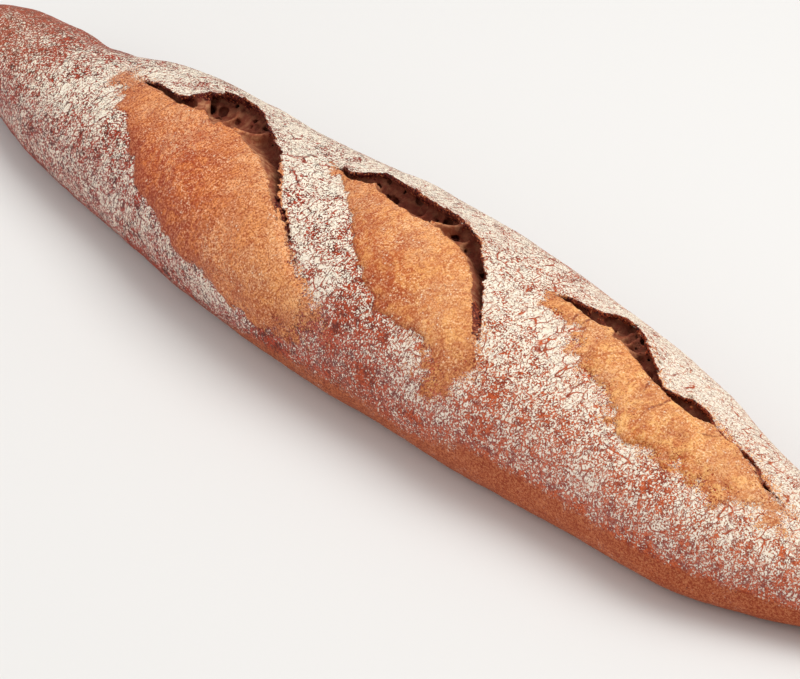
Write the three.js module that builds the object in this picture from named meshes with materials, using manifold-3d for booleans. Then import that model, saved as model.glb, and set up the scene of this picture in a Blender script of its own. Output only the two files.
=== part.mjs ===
// A rustic baguette: hand shaped, floured, slashed three times and baked lying flat.
// Millimetres. X runs along the loaf, Z is up, and the bottom crust lies on Z = 0.
// A point of the crust is named by x and by its angle round the loaf, in degrees: 0 is the
// crown, positive angles go down the near side (-Y) and negative ones down the far side (+Y).
import * as THREE from 'three';
import { mergeVertices } from 'three/addons/utils/BufferGeometryUtils.js';
import Module from 'manifold-3d';

// The loaf as a whole
const LENGTH = 470;
const HEIGHT_TO_WIDTH = 0.625;
const WIDEST_LEVEL = 0.42; // height of the widest level, as a share of the loaf's height
const SQUASH = 0.085; // share of the height by which the lower crust is flattened
const TIP_POWER = 5; // how abruptly the ends round off
const TIP_FLOOR = 1e-9; // keeps a section from vanishing at the very tip
const LIFT_START = 0.06; // rounding below which the bottom crust still lies flat
const LIFT_POWER = 0.7; // less keeps the bottom crust flat for longer towards the tips
const UPPER_POWER = 2.15; // 2 is an ellipse, more is boxier
const LOWER_POWER = 2.6;
const HALF_WIDTHS = [
  [-235, 30], [-200, 28], [-160, 30.5], [-115, 35.5], [-60, 39], [0, 42],
  [60, 40.5], [110, 36], [155, 31], [195, 24.5], [235, 17],
];
const CENTRE_LINE = [
  [-235, 16], [-200, 11], [-160, 6], [-115, 5], [-60, 0], [0, 0],
  [60, 0.5], [110, 0.5], [155, -2.5], [195, 5], [235, 12],
];

// The slashes. Each opened into a lip of crust on its far side (the ear), a gap under the
// ear, and a bare bulge of crust that runs down the near side to the bulge line.
const SLASHES = [
  {
    ear: [[-134, 4], [-126, 6], [-116, 10], [-107, 11.5], [-101, 5], [-96, -7], [-89, -15],
      [-78, -18], [-70, -14], [-62, -7], [-49, 5], [-39, 17], [-33, 27], [-20, 43], [-8, 56],
      [8, 70]],
    bulge: [[-134, 9], [-125, 25], [-114, 42], [-105, 51], [-96, 62], [-82, 69], [-70, 76],
      [-59, 81], [-42, 86], [-24, 90], [-10, 89], [2, 83], [8, 76]],
    gap: [[-134, 0.6], [-120, 1.2], [-107, 2], [-101, 5], [-96, 10], [-90, 13.5], [-82, 15],
      [-70, 12.5], [-62, 9], [-51, 6.6], [-43, 5.2], [-36, 3.6], [-24, 1.4], [8, 0.6]],
    earRise: 5, bulgeRise: 4.2,
  },
  {
    ear: [[-36, -18], [-30, -16], [-23, -13], [-14, -19], [-6, -18], [8, -16], [20, -15],
      [30, -12], [38, -7], [48, 7], [55, 21], [62, 33], [68, 46]],
    bulge: [[-36, -16], [-24, -3], [-13, 10], [-3, 24], [6, 36], [16, 46], [24, 51], [34, 56],
      [45, 62], [58, 65], [68, 58]],
    gap: [[-36, 0.6], [-25, 1.4], [-19, 2.4], [-13, 5.4], [-4, 6.9], [4, 8], [12, 8.4],
      [23, 7.2], [31, 6.8], [38, 5.2], [45, 3.6], [51, 2.2], [57, 1.4], [68, 0.6]],
    earRise: 4.8, bulgeRise: 4,
  },
  {
    ear: [[64, -19], [71, -21], [79, -20], [84, -22], [90, -28], [96, -28], [102, -24],
      [108, -18], [114, -13], [120, -9], [131, -16], [138, -17], [152, -18], [158, -16],
      [164, -9], [170, -3], [178, 6]],
    bulge: [[64, -13], [73, -5], [82, 3], [91, 11], [101, 19], [109, 27], [118, 33], [128, 35],
      [138, 33], [148, 29], [158, 32], [166, 30], [172, 22], [178, 9]],
    gap: [[64, 0.6], [72, 1.2], [80, 1.8], [86, 4], [92, 7], [98, 7.2], [104, 6], [110, 4.2],
      [120, 1.2], [129, 4.8], [134, 5], [141, 1.2], [155, 1.4], [178, 0.6]],
    earRise: 3.4, bulgeRise: 3,
  },
];
const EAR_SPREAD = 15; // how far behind its edge an ear's rise fades out
const EAR_FALL = 6; // degrees before its edge in which an ear's rise falls to the bulge's
const BULGE_POWER = 0.8; // less makes a bulge fuller before it falls to the bulge line
const GAP_DEPTH = 9; // depth of the widest gap below the plain crust
const GAP_WIDE = 7; // gap width from which a gap has its full depth
const SHALLOWEST = 0.15; // share of the full depth that the narrowest gap has
const UNDERCUT = 0.6; // reach of a gap under its ear, as a share of its depth
const UNDERCUT_LEVEL = 0.55; // depth at which it reaches furthest, as a share of the whole
const FLOOR_REACH = 0.5; // how far back the floor is deepest, as a share of the undercut
const SLOPE_FOOT = { across: 0.55, depth: 0.8 }; // where the near slope meets the floor
const LIP = 0.25; // height of the gap's mouth at the ear's edge, as a share of the ear's rise
const CLEARANCE = 8; // how far a cutting body stands out of the crust

// Facets
const STATIONS = 84;
const SLASH_STATIONS = 22;
const END_CROWDING = 0.4; // 0 spaces the stations evenly, 1 crowds them at the ends
const UPPER_ARC = { from: -100, to: 120, steps: 30 };
const LOWER_STEPS = 10;

const CRUST_COLOUR = '#b9764a';
const CRUST_ROUGHNESS = 0.85;

const toRadians = THREE.MathUtils.degToRad;
const clamp = THREE.MathUtils.clamp;

// A smooth curve through [x, value] points: cubic between them and level past both ends.
function smoothThrough(points) {
  const last = points.length - 1;
  const slopes = points.map((point, i) => {
    const [x0, value0] = points[Math.max(i - 1, 0)];
    const [x1, value1] = points[Math.min(i + 1, last)];
    return (value1 - value0) / (x1 - x0);
  });
  return (x) => {
    const next = points.findIndex((point) => point[0] > x);
    const i = next < 0 ? last - 1 : Math.max(next - 1, 0);
    const [x0, value0] = points[i];
    const [x1, value1] = points[i + 1];
    const span = x1 - x0;
    const t = clamp((x - x0) / span, 0, 1);
    const rise = t * t * (3 - 2 * t);
    const leaving = t * (1 - t) * (1 - t) * span * slopes[i];
    const arriving = t * t * (1 - t) * span * slopes[i + 1];
    return value0 + (value1 - value0) * rise + leaving - arriving;
  };
}

const halfWidth = smoothThrough(HALF_WIDTHS);
const centreLine = smoothThrough(CENTRE_LINE);
const slashes = SLASHES.map((slash) => ({
  ...slash,
  start: slash.ear[0][0],
  end: slash.ear[slash.ear.length - 1][0],
  earAngle: smoothThrough(slash.ear),
  bulgeAngle: smoothThrough(slash.bulge),
  gapWidth: smoothThrough(slash.gap),
}));

// The measures of the section at x, before any slash.
function sectionAt(x) {
  const share = clamp(Math.abs((2 * x) / LENGTH), 0, 1);
  const rounding = Math.sqrt(Math.max(1 - share ** TIP_POWER, TIP_FLOOR));
  const height = 2 * halfWidth(x) * HEIGHT_TO_WIDTH;
  const lift = Math.max(1 - rounding ** LIFT_POWER - LIFT_START, 0) / (1 - LIFT_START);
  return {
    side: halfWidth(x) * rounding,
    up: height * (1 - WIDEST_LEVEL) * rounding,
    down: height * (WIDEST_LEVEL + SQUASH) * rounding,
    level: height * WIDEST_LEVEL,
    floor: height * WIDEST_LEVEL * lift,
    middle: centreLine(x),
  };
}

function superellipse(across, along, side, reach, power) {
  return ((across / side) ** power + (along / reach) ** power) ** (-1 / power);
}

// The point of the crust at x and an angle, standing out by rise along the ray from the centre.
function crustPoint(x, degrees, rise) {
  const { side, up, down, level, floor, middle } = sectionAt(x);
  const sine = Math.sin(toRadians(degrees));
  const cosine = Math.cos(toRadians(degrees));
  const [reach, power] = cosine > 0 ? [up, UPPER_POWER] : [down, LOWER_POWER];
  let radius = rise + superellipse(Math.abs(sine), Math.abs(cosine), side, reach, power);
  let z = level + radius * cosine;
  if (z < floor) {
    radius = (level - floor) / -cosine;
    z = floor;
  }
  return new THREE.Vector3(x, middle - radius * sine, z);
}

// Millimetres of crust for one degree round the loaf at x.
function perDegree(x) {
  const { side, up } = sectionAt(x);
  return toRadians((side + up) / 2);
}

// How far the baked crust stands out at a point: the ears behind each slash, the bulges before.
function riseAt(x, degrees) {
  let rise = 0;
  for (const slash of slashes) {
    const along = (x - slash.start) / (slash.end - slash.start);
    if (along <= 0 || along >= 1) continue;
    const envelope = Math.sqrt(Math.sin(Math.PI * along));
    const past = degrees - slash.earAngle(x);
    const width = slash.bulgeAngle(x) - slash.earAngle(x);
    const behind = (past * perDegree(x)) / EAR_SPREAD;
    if (past < 0) rise += slash.earRise * envelope * Math.exp(-behind * behind);
    else if (past < width) {
      const fade = Math.cos((Math.PI / 2) * (past / width)) ** BULGE_POWER;
      const crest = slash.bulgeRise + (slash.earRise - slash.bulgeRise) * Math.exp(-past / EAR_FALL);
      rise += crest * envelope * fade;
    }
  }
  return rise;
}

// A closed mesh through a row of rings of points, closed at each end by a fan to a tip point.
// Each ring runs the way that the angle does, and the rings follow +X.
function loft(rings, firstTip, lastTip) {
  const size = rings[0].length;
  const points = [firstTip, ...rings.flat(), lastTip];
  const lastPoint = points.length - 1;
  const at = (ring, i) => 1 + ring * size + (i % size);
  const triangles = [];
  for (let i = 0; i < size; i += 1) {
    triangles.push([0, at(0, i + 1), at(0, i)]);
    for (let ring = 0; ring < rings.length - 1; ring += 1) {
      triangles.push([at(ring, i), at(ring, i + 1), at(ring + 1, i)]);
      triangles.push([at(ring, i + 1), at(ring + 1, i + 1), at(ring + 1, i)]);
    }
    triangles.push([at(rings.length - 1, i), at(rings.length - 1, i + 1), lastPoint]);
  }
  const geometry = new THREE.BufferGeometry().setFromPoints(points);
  geometry.setIndex(triangles.flat());
  return geometry;
}

// The loaf without its gaps.
function makeLoaf() {
  const angles = [];
  const { from, to, steps } = UPPER_ARC;
  for (let i = 0; i <= steps; i += 1) angles.push(from + ((to - from) * i) / steps);
  const lowerStep = (360 - (to - from)) / LOWER_STEPS;
  for (let i = 1; i < LOWER_STEPS; i += 1) angles.push(to + lowerStep * i);
  const rings = [];
  for (let i = 1; i < STATIONS; i += 1) {
    const even = (2 * i) / STATIONS - 1;
    const crowded = Math.sin((Math.PI / 2) * even);
    const x = (LENGTH / 2) * THREE.MathUtils.lerp(even, crowded, END_CROWDING);
    rings.push(angles.map((degrees) => crustPoint(x, degrees, riseAt(x, degrees))));
  }
  return loft(rings, crustPoint(-LENGTH / 2, 0, 0), crustPoint(LENGTH / 2, 0, 0));
}

// The body that cuts one gap: it drops in beside the ear's edge and reaches back under the ear.
function makeGapCutter(slash) {
  const rings = [];
  for (let i = 0; i <= SLASH_STATIONS; i += 1) {
    const x = THREE.MathUtils.lerp(slash.start, slash.end, i / SLASH_STATIONS);
    const angle = slash.earAngle(x);
    const scale = perDegree(x);
    const slope = (slash.earAngle(x + 1) - slash.earAngle(x - 1)) * scale / 2;
    const along = Math.hypot(1, slope);
    const gap = slash.gapWidth(x);
    const depth = GAP_DEPTH * clamp(gap / GAP_WIDE, SHALLOWEST, 1);
    const reach = depth * UNDERCUT;
    const section = [
      [0, CLEARANCE],
      [gap, CLEARANCE],
      [gap, 0],
      [gap * SLOPE_FOOT.across, -depth * SLOPE_FOOT.depth],
      [-reach * FLOOR_REACH, -depth],
      [-reach, -depth * UNDERCUT_LEVEL],
      [0, slash.earRise * LIP],
    ];
    // Across the slash is square to the ear's edge in the unrolled crust.
    rings.push(section.map(([across, rise]) => {
      const x1 = x - (across * slope) / along;
      return crustPoint(x1, angle + across / along / scale, rise);
    }));
  }
  const middleOf = (ring) => ring.reduce((sum, point) => sum.add(point), new THREE.Vector3())
    .divideScalar(ring.length);
  return loft(rings, middleOf(rings[0]), middleOf(rings[rings.length - 1]));
}

const wasm = await Module();
wasm.setup();

function toSolid(geometry) {
  geometry.deleteAttribute('normal');
  geometry.deleteAttribute('uv');
  const merged = mergeVertices(geometry);
  return new wasm.Manifold(new wasm.Mesh({
    numProp: 3,
    vertProperties: new Float32Array(merged.attributes.position.array),
    triVerts: new Uint32Array(merged.index.array),
  }));
}

function toGeometry(solid) {
  const mesh = solid.getMesh();
  const geometry = new THREE.BufferGeometry();
  geometry.setAttribute('position', new THREE.BufferAttribute(mesh.vertProperties, 3));
  geometry.setIndex(new THREE.BufferAttribute(mesh.triVerts, 1));
  return geometry;
}

let loaf = toSolid(makeLoaf());
for (const slash of slashes) loaf = loaf.subtract(toSolid(makeGapCutter(slash)));

// The origin is under the middle of the loaf's box, on the surface that it lies on.
const crust = toGeometry(loaf);
crust.computeBoundingBox();
const centre = crust.boundingBox.getCenter(new THREE.Vector3());
crust.translate(-centre.x, -centre.y, -crust.boundingBox.min.z);
crust.computeVertexNormals();

const baguette = new THREE.Mesh(crust, new THREE.MeshStandardMaterial({
  color: CRUST_COLOUR,
  roughness: CRUST_ROUGHNESS,
  metalness: 0,
}));
baguette.name = 'baguette';

const group = new THREE.Group();
group.add(baguette);
export default group;
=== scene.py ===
"""A rustic baguette round its CAD frame: one baked loaf with a floured crust, three torn
slashes with raised ears, and bare bulges of crust beside them. Shapes are worked out in
millimetres in the loaf's own coordinates and built in metres."""

import math
from types import SimpleNamespace

import bpy
import numpy as np
from mathutils import Matrix, Vector


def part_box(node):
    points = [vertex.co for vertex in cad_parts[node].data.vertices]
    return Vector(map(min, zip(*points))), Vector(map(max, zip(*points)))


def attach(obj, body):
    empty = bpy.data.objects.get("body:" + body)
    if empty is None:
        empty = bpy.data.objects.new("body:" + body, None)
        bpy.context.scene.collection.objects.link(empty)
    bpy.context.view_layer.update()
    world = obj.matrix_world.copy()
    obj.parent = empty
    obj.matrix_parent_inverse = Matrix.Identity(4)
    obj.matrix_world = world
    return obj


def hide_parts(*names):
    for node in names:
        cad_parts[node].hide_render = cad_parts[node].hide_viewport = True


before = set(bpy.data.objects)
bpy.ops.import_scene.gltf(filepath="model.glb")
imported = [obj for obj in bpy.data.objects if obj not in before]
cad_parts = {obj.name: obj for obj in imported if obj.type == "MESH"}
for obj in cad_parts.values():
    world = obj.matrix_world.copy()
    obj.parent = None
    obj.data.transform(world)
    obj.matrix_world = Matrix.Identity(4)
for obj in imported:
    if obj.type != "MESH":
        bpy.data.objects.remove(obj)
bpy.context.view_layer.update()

# ------------ driving dimensions, mm
# A point of the crust is named by x and by its angle round the loaf in degrees: 0 is the
# crown, positive angles go down the near side (-Y), negative ones down the far side (+Y).
MM = 0.001
LENGTH = 470.0
HEIGHT_TO_WIDTH = 0.625
WIDEST_LEVEL = 0.42      # where the section is widest, as a share of its height
SQUASH = 0.085           # share of the height that the flat bottom cuts off
TIP_POWER = 5            # higher makes blunter tips
LIFT_START = 0.06        # how rounded off the section is where its bottom leaves the floor
UPPER_POWER = 2.15       # roundness of the section above its widest level
LOWER_POWER = 2.6        # and below it
HALF_WIDTHS = [(-235, 30), (-200, 28), (-160, 30.5), (-115, 35.5), (-60, 39), (0, 42),
               (60, 40.5), (110, 36), (155, 31), (195, 24.5), (235, 17)]
CENTRE_LINE = [(-235, 16), (-200, 11), (-160, 6), (-115, 5), (-60, 0), (0, 0),
               (60, 0.5), (110, 0.5), (155, -2.5), (195, 5), (235, 12)]

# A slash: the ear is the torn edge of crust on its far side, the bulge is the near edge of
# the bare crust, gap is how far the cavity opens before the ear, rise is the ear's height
# and crest the bulge's own. Each of these is a list of (x, value) points along the slash, in
# degrees for the ear and the bulge and in millimetres for the rest; webs are folds of crumb
# across the cavity (x, lean, drop, half thickness), and fray is how many millimetres the edge
# of the bare crust wanders.
SLASHES = [
    dict(ear=[(-140, -3), (-133, -1.5), (-127, 0), (-121, 2), (-115, 3.5), (-110, 4.5), (-105, 5),
              (-102, 3.5), (-99, -2), (-96, -8), (-91, -14), (-85, -17), (-77, -18), (-70, -14),
              (-62, -7), (-49, 5), (-39, 17), (-33, 27), (-25, 37), (-17, 47), (-11, 54),
              (-4, 60), (11, 72)],
         bulge=[(-140, 3), (-133, 11), (-125, 25), (-114, 42), (-105, 51), (-98, 61), (-91, 67),
                (-82, 68), (-70, 76), (-59, 81), (-42, 86), (-24, 90), (-10, 89), (2, 83),
                (11, 73)],
         gap=[(-136, 0), (-130, 1.3), (-115, 1.2), (-110, 1.6), (-105, 1.9), (-102, 3.4),
              (-99, 7), (-95, 11), (-90, 14.5), (-82, 16), (-77, 15.5), (-70, 12.8), (-62, 9),
              (-51, 6.6), (-43, 5.2), (-36, 3.6), (-30, 2), (-24, 1.3), (-12, 0.8), (4, 0)],
         rise=[(-132, 0), (-122, 1.0), (-108, 1.8), (-101, 2.8), (-96, 4.2), (-88, 5), (-70, 5.4),
               (-57, 4.8), (-45, 3.4), (-30, 1.7), (-15, 0.7), (6, 0)],
         webs=[(-98, 0.15, 0.9, 2.8), (-84, 0.1, 3.8, 0.4), (-61, -0.5, 1.0, 0.7)],
         fray=[(-140, 7), (-122, 4), (-108, 1.4), (-30, 1.4), (-8, 2.5), (11, 5)],
         crest=[(-140, 0), (-124, 0.8), (-110, 1.5), (-98, 2.9), (-84, 4.2), (-62, 4.6),
                (-40, 4.4), (-18, 3.4), (-2, 1.8), (11, 0)]),
    dict(ear=[(-38, -19), (-30, -16), (-23, -12), (-18, -15), (-14, -20), (-6, -18), (8, -16),
              (20, -15), (30, -12), (38, -7), (48, 7), (55, 21), (62, 33), (68, 46), (71, 54)],
         bulge=[(-38, -18), (-32, -14), (-24, -3), (-13, 10), (-3, 24), (6, 36), (16, 46),
                (24, 51), (34, 56), (45, 62), (58, 65), (66, 61), (71, 55)],
         gap=[(-34, 0), (-25, 1.2), (-19, 2.2), (-13, 5.4), (-4, 6.9), (4, 8), (12, 8.4),
              (23, 7.2), (31, 6.8), (38, 5.2), (45, 3.6), (51, 2.2), (57, 1.4), (68, 0)],
         rise=[(-36, 0), (-26, 1.8), (-16, 4), (-4, 5), (20, 5), (32, 4.6), (42, 3.8), (52, 2.2),
               (62, 1.1), (71, 0)],
         webs=[(-13, 0.4, 2.6, 0.6), (9, -0.2, 3.6, 0.4), (25, -0.7, 0.8, 0.7),
               (31, 0.2, 2.6, 0.5)],
         fray=[(-38, 3), (-22, 1.4), (0, 2), (34, 1.6), (55, 3), (71, 5)],
         crest=[(-38, 0), (-28, 1.2), (-15, 2.8), (3, 4), (28, 4.3), (46, 3.8), (60, 2.4),
                (71, 0)]),
    dict(ear=[(64, -19), (71, -21), (79, -20), (84, -22), (90, -29), (96, -28), (102, -24),
              (108, -18), (114, -13), (120, -9), (125, -12), (131, -17), (138, -17), (145, -16),
              (152, -18), (158, -16), (164, -9), (170, -3), (178, 6)],
         bulge=[(64, -13), (73, -5), (82, 3), (91, 11), (101, 19), (109, 27), (118, 33), (128, 35),
                (138, 33), (148, 29), (158, 32), (166, 30), (172, 22), (178, 8)],
         gap=[(64, 0), (72, 1.2), (80, 1.6), (86, 4), (92, 7), (98, 7.2), (104, 6), (110, 4.2),
              (115, 2.8), (120, 1), (124, 3), (129, 5), (134, 5.2), (138, 3), (141, 0.4),
              (146, 1.5), (150, 0.4), (155, 1.7), (160, 0.4), (166, 1.5), (171, 0.3), (176, 0)],
         rise=[(64, 0), (74, 1.6), (86, 3.2), (96, 3.6), (106, 3.2), (116, 1.9), (121, 1.4),
               (130, 2.4), (137, 2.2), (143, 1.0), (158, 1.1), (170, 0.8), (178, 0)],
         webs=[(85, 0.4, 2.0, 0.5), (91, 0.1, 1.6, 0.4), (94, -0.1, 2.0, 0.4),
               (98, 0.2, 1.8, 0.4), (103, 0.3, 2.2, 0.5)],
         fray=[(64, 4), (84, 4), (100, 4.5), (130, 4.5), (178, 5.5)],
         crest=[(64, 0), (74, 1.4), (88, 2.5), (106, 3.4), (124, 3.4), (144, 3), (162, 2),
                (178, 0)]),
]
EAR_SPREAD = 18.0        # how far behind its edge an ear's rise fades out
EAR_EDGE = 1.35          # thickness of an ear at its edge
EAR_THICKENING = 0.38    # added thickness per millimetre behind the edge
CAVITY_DEPTH = 2.6       # how far a cavity's floor lies under the plain crust
BUBBLE_TRIES = 110       # places tried for bubbles in each cavity; the fitting ones are kept
SKIN_CREASES = 240
CREASE_WIDTH = 0.5       # from a crease's middle to where it is about a third as deep
CREASE_DEPTH = 0.5
VOXEL = 0.6              # step of the grid the loaf's surface is drawn out of
GRID_Y = (-50, 62)       # what that grid spans across the loaf
GRID_Z = (-1.2, 64)      # and upwards
OUTSIDE = 9.0            # the solid field's value where it isn't worked out
FACES = 186000           # triangles in the finished loaf
SEED = 41


# ------------ curves and noise
def through(points):
    """A smooth curve through (x, value) points: cubic between them, level past both ends."""
    xs, values = (np.array(column, float) for column in zip(*points))
    run, climb = (np.pad(column, 1, "edge") for column in (xs, values))
    slopes = (climb[2:] - climb[:-2]) / (run[2:] - run[:-2])

    def curve(x):
        x = np.asarray(x, float)
        i = np.clip(np.searchsorted(xs, x, side="right") - 1, 0, len(xs) - 2)
        span = xs[i + 1] - xs[i]
        t = np.clip((x - xs[i]) / span, 0, 1)
        rise = t * t * (3 - 2 * t)
        leaving = t * (1 - t) ** 2 * span * slopes[i]
        arriving = t * t * (1 - t) * span * slopes[i + 1]
        return values[i] + (values[i + 1] - values[i]) * rise + leaving - arriving
    return curve


def ramp(low, high, value):
    """0 up to low, 1 from high on, smooth between; low may be the greater one."""
    t = np.clip((value - low) / (high - low), 0, 1)
    return t * t * (3 - 2 * t)


def blend_min(a, b, k):
    """The lesser of two, with their crease rounded where they differ by less than k."""
    h = np.clip(0.5 + 0.5 * (b - a) / k, 0, 1)
    return b + (a - b) * h - k * h * (1 - h)


def blend_max(a, b, k):
    return -blend_min(-a, -b, k)


def corner_value(cell, offset, seed):
    """A fixed random value in -1..1 for the lattice corner at cell + offset."""
    key = np.full(cell.shape[:-1], seed * 2654435761 % 2**32, np.uint32)
    for axis, prime in enumerate((73856093, 19349663, 83492791)):
        key ^= (cell[..., axis] + offset[axis]).astype(np.uint32) * np.uint32(prime)
    key ^= key >> np.uint32(13)
    key *= np.uint32(1540483477)
    key ^= key >> np.uint32(15)
    key *= np.uint32(2246822519)
    key ^= key >> np.uint32(13)
    return key.astype(np.float32) / 2**31 - 1


def noise(points, size, seed):
    """Smooth noise in -1..1 whose bumps are about size millimetres across."""
    scaled = np.asarray(points) / size + 1000
    cell = np.floor(scaled).astype(np.int64)
    part = (scaled - cell).astype(np.float32)
    part = part**3 * (part * (part * 6 - 15) + 10)
    total = np.zeros(part.shape[:-1], np.float32)
    for corner in np.ndindex(2, 2, 2):
        weight = np.prod(np.where(corner, part, 1 - part), axis=-1)
        total += weight * corner_value(cell, corner, seed)
    return total


def layered_noise(points, size, seed):
    """Noise with two finer layers added."""
    total = 0
    for layer in range(3):
        total = total + noise(points, size / 2.1**layer, seed + 31 * layer) / 1.9**layer
    return total / 1.6


# ------------ the loaf before slashing
half_width = through(HALF_WIDTHS)
centre_line = through(CENTRE_LINE)


def section(x):
    """The measures of the loaf's section at x. rounding is negative past the tips."""
    share = np.abs(2 * np.asarray(x, float) / LENGTH)
    squared = 1 - share**TIP_POWER
    rounding = np.sqrt(np.maximum(squared, 1e-9))
    side = half_width(x)
    height = 2 * side * HEIGHT_TO_WIDTH
    lift = np.maximum(1 - rounding**0.7 - LIFT_START, 0) / (1 - LIFT_START)
    return dict(side=side, up=height * (1 - WIDEST_LEVEL),
                down=height * (WIDEST_LEVEL + SQUASH), level=height * WIDEST_LEVEL,
                floor=height * WIDEST_LEVEL * lift, middle=centre_line(x),
                rounding=rounding, squared=squared)


def full_radius(parts, angle):
    """Distance from the section's centre to the crust before the ends are rounded off."""
    sine = np.abs(np.sin(angle))
    cosine = np.cos(angle)

    def oval(end, power):
        return ((sine / parts["side"])**power
                + (np.abs(cosine) / parts[end])**power)**(-1 / power)
    return np.where(cosine > 0, oval("up", UPPER_POWER), oval("down", LOWER_POWER))


def crust_radius(parts, angle):
    """Distance from the section's centre to the plain crust, the flat bottom included."""
    radius = full_radius(parts, angle) * parts["rounding"]
    down = np.maximum(-np.cos(angle), 1e-6)
    return np.minimum(radius, (parts["level"] - parts["floor"]) / down)


def mean_radius(x):
    """Millimetres of crust for one radian round the upper part of the loaf."""
    parts = section(x)
    return parts["rounding"] * (parts["side"] + parts["up"]) / 2


# Tables over x and angle. Everything that belongs to the crust is worked out on them.
PLANES = np.arange(-LENGTH / 2 - 2 * VOXEL, LENGTH / 2 + 2 * VOXEL, VOXEL)
ANGLES = np.radians(np.linspace(-180, 180, 721))
parts = {key: value[:, None] for key, value in section(PLANES).items()}
RADIUS = crust_radius(parts, ANGLES[None, :])
AROUND = ANGLES[None, :] * mean_radius(PLANES)[:, None]
SKIN = np.stack([np.broadcast_to(PLANES[:, None], RADIUS.shape),
                 parts["middle"] - RADIUS * np.sin(ANGLES),
                 parts["level"] + RADIUS * np.cos(ANGLES)], axis=-1)


def sample(table, x, angle):
    """Values of a table at any x and angle, straight-line between its entries."""
    i = np.clip((x - PLANES[0]) / VOXEL, 0, len(PLANES) - 1.001)
    j = np.clip((angle + math.pi) / (2 * math.pi) * (len(ANGLES) - 1), 0, len(ANGLES) - 1.001)
    i0, j0 = i.astype(int), j.astype(int)
    u, v = i - i0, j - j0
    return ((table[i0, j0] * (1 - u) + table[i0 + 1, j0] * u) * (1 - v)
            + (table[i0, j0 + 1] * (1 - u) + table[i0 + 1, j0 + 1] * u) * v)


# ------------ slashes over the tables
class Slash:
    """One slash: q is the distance from the ear's edge, positive towards the bare side,
    t runs along the edge, near is the distance inside the bulge line, and rim is how far
    the torn edge strays from q = 0."""

    def __init__(self, spec, number):
        self.number = number
        x0, x1 = spec["ear"][0][0], spec["ear"][-1][0]
        line_x = np.arange(x0, x1 + 0.25, 0.5)
        radius = mean_radius(line_x)
        self.line, near_line = (
            np.stack([line_x, np.radians(through(spec[edge])(line_x)) * radius], -1)
            for edge in ("ear", "bulge"))
        steps = np.gradient(self.line, axis=0)
        self.tangent = steps / np.linalg.norm(steps, axis=1)[:, None]
        self.length = np.concatenate([[0], np.cumsum(
            np.linalg.norm(np.diff(self.line, axis=0), axis=1))])
        gap = np.interp(line_x, *zip(*spec["gap"]))
        path = np.stack([self.length, 0 * gap, np.full(len(gap), 5.0 * number)], -1)
        jagged = 0.5 * noise(path, 2.4, SEED + 8) + 0.3 * noise(path, 1.2, SEED + 9)
        self.gap_line = np.maximum(gap + jagged * np.clip(gap / 1.5, 0, 1), 0)
        self.gap_at = self.over_length(self.gap_line)
        self.rise_at = self.over_length(np.maximum(through(spec["rise"])(line_x), 0))
        self.fray_at = self.over_length(np.interp(line_x, *zip(*spec["fray"])))
        # Height of the bulge at its upper edge.
        self.crest = self.over_length(np.maximum(through(spec["crest"])(line_x), 0))
        self.webs = spec["webs"]
        self.first = np.searchsorted(PLANES, x0 - 30)
        self.last = np.searchsorted(PLANES, x1 + 30)
        self.rows = slice(self.first, self.last)
        self.measure(near_line)
        self.top = self.envelope(self.q, self.t, self.near)

    def over_length(self, values):
        """These values, one for each point of the ear's line, as a function of t."""
        return lambda t: np.interp(t, self.length, values)

    def measure(self, near_line):
        """Fills the tables for the planes that the slash can reach."""
        planes = PLANES[self.rows]
        shape = AROUND[self.rows].shape
        self.q, self.t, self.near = np.empty((3, *shape))
        edge_s = np.interp(planes, near_line[:, 0], near_line[:, 1])
        inside_x = (planes > self.line[0, 0]) & (planes < self.line[-1, 0])

        def apart_squared(line):
            return (x - line[:, 0][:, None])**2 + (around[None, :] - line[:, 1][:, None])**2
        for row, x in enumerate(planes):
            around = AROUND[self.first + row]
            nearest = np.argmin(apart_squared(self.line), axis=0)
            tx, ts = self.tangent[nearest].T
            cx = x - self.line[nearest, 0]
            cs = around - self.line[nearest, 1]
            straight = tx * cs - ts * cx
            away = np.hypot(cx, cs)
            past_end = (nearest == 0) | (nearest == len(self.line) - 1)
            self.q[row] = np.where(past_end, np.sign(straight) * away, straight)
            self.t[row] = self.length[nearest] + np.where(past_end, 0, tx * cx + ts * cs)
            distance = np.sqrt(np.min(apart_squared(near_line), axis=0))
            inside = inside_x[row] & (around < edge_s[row])
            self.near[row] = np.where(inside, distance, -distance)
        skin = SKIN[self.rows]
        wander = noise(skin, 8, SEED + 6) + 0.7 * noise(skin, 3.4, SEED + 7)
        self.near += 1.2 * self.fray_at(self.t) * wander * ramp(0.5, 4, self.q)
        ragged = np.stack([self.t, np.full(shape, 7.0 * self.number), np.zeros(shape)], -1)
        self.rim = (0.9 * noise(ragged, 7.0, SEED + 1) + 1.0 * noise(ragged, 2.6, SEED + 2)
                    + 0.8 * noise(ragged, 1.3, SEED + 3))
        self.rim *= np.clip(self.gap_at(self.t) / 2.2, 0.15, 1)

    def ear_top(self, q, t):
        """Height of the ear's upper side, highest at its edge."""
        flap = np.maximum(1 + np.minimum(q, 3) / EAR_SPREAD, 0)**2
        return self.rise_at(t) * flap + 0.25 * np.minimum(self.rise_at(t), 2) * np.exp(q / 1.6)

    def bulge_top(self, q, t, near):
        """Height of the bulge, which rounds down to the plain crust at its near edge."""
        across = np.clip((q - self.gap_at(t)) / np.maximum(q - self.gap_at(t) + near, 0.5), 0, 1)
        return np.where(near > 0, self.crest(t) * np.cos(math.pi / 2 * across)**0.75, 0)

    def envelope(self, q, t, near):
        """The crust's rise over the plain loaf, with the gap bridged over."""
        gap = self.gap_at(t)
        bridge = np.clip(q / np.maximum(gap, 0.4), 0, 1)
        return np.where(q < 0, self.ear_top(np.minimum(q, 0), t),
                        self.ear_top(0 * q, t) * (1 - bridge)
                        + self.bulge_top(np.maximum(q, gap), t, near) * bridge)


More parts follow.
